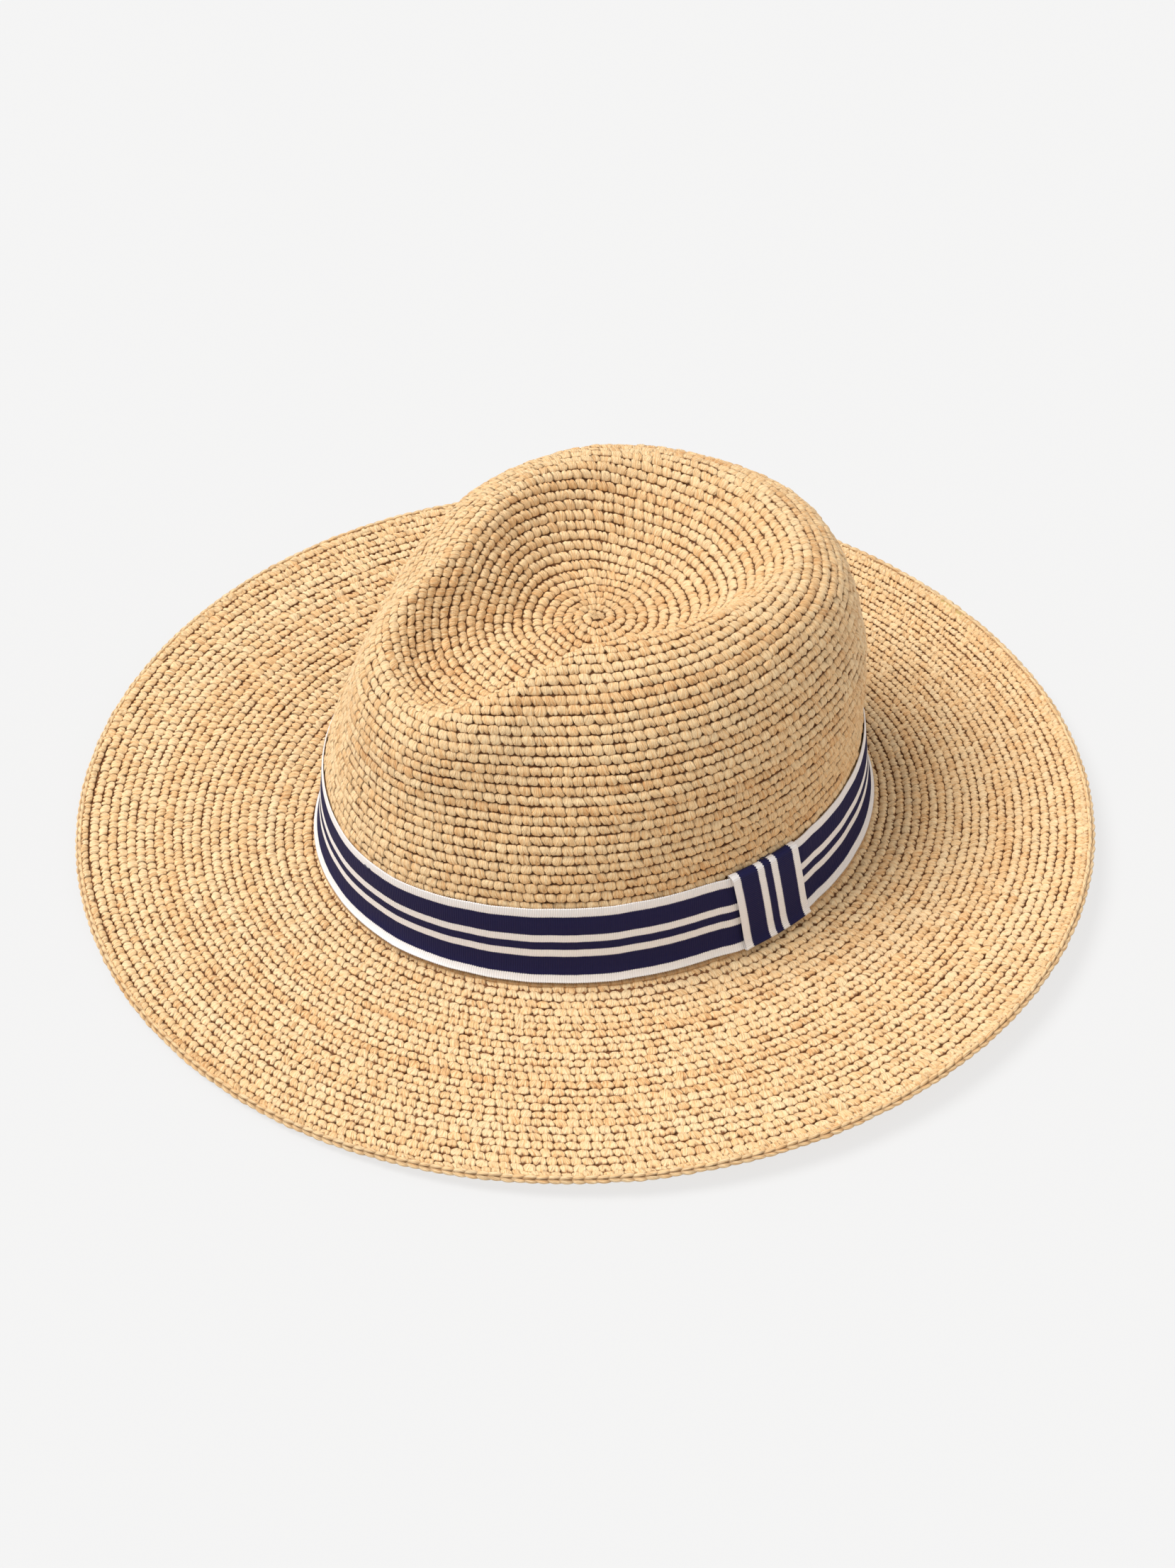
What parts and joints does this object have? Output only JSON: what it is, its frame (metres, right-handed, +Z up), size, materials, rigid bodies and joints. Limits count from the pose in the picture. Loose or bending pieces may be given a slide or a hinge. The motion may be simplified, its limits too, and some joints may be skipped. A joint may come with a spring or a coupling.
{
  "type": "fedora hat",
  "caption": "Wide-brimmed crocheted straw fedora with a pinched teardrop crown, striped ribbon band with a keeper, wired brim edge, and an adjustable sweatband cord with a sliding bead.",
  "frame": {"origin": "centre of the hat's outline on the resting plane, which touches the underside of the brim's front edge", "axes": "+Z up from the resting plane; the hat's front faces -Y; the wearer's left side is +X"},
  "size_m": [0.3748, 0.3621, 0.1183],
  "materials": {
    "straw_crown": "natural crocheted raffia, matt with a slight sheen",
    "straw_brim": "natural crocheted raffia, matt with a slight sheen",
    "straw_edge": "natural raffia finishing round, matt",
    "steel_wire": "plain drawn wire",
    "brass": "plain, lightly burnished",
    "striped_ribbon": "ribbed ribbon in navy with off-white stripes, matt",
    "sweatband_cotton": "ribbed cotton tape, matt",
    "thread": "spun thread",
    "navy_thread": "spun thread",
    "cord": "twisted waxed cotton cord",
    "bead_wood": "turned and oiled",
    "woven_label": "plain woven tape, blank"
  },
  "bodies": {
    "hat": {"crown": "straw_crown", "brim": "straw_brim", "brim_edge_braid": "straw_edge", "brim_wire": "steel_wire", "wire_joiner": "brass", "hatband": "striped_ribbon", "ribbon_keeper": "striped_ribbon", "sweatband": "sweatband_cotton", "sweatband_tab": "sweatband_cotton", "sweatband_stitching": "thread", "adjuster_cord": "cord", "cord_tip_left": "brass", "cord_tip_right": "brass", "care_label": "woven_label", "size_label": "woven_label", "band_tack_front": "navy_thread", "band_tack_right": "navy_thread", "band_tack_back": "navy_thread", "keeper_tack": "navy_thread"},
    "cord_stopper": {"cord_stopper": "bead_wood"}
  },
  "joints": [
    {"name": "cord_stopper_slide", "type": "slide", "parent": "hat", "child": "cord_stopper", "axis": [0, 0, -1], "range_m": [0, 0.011]}
  ]
}
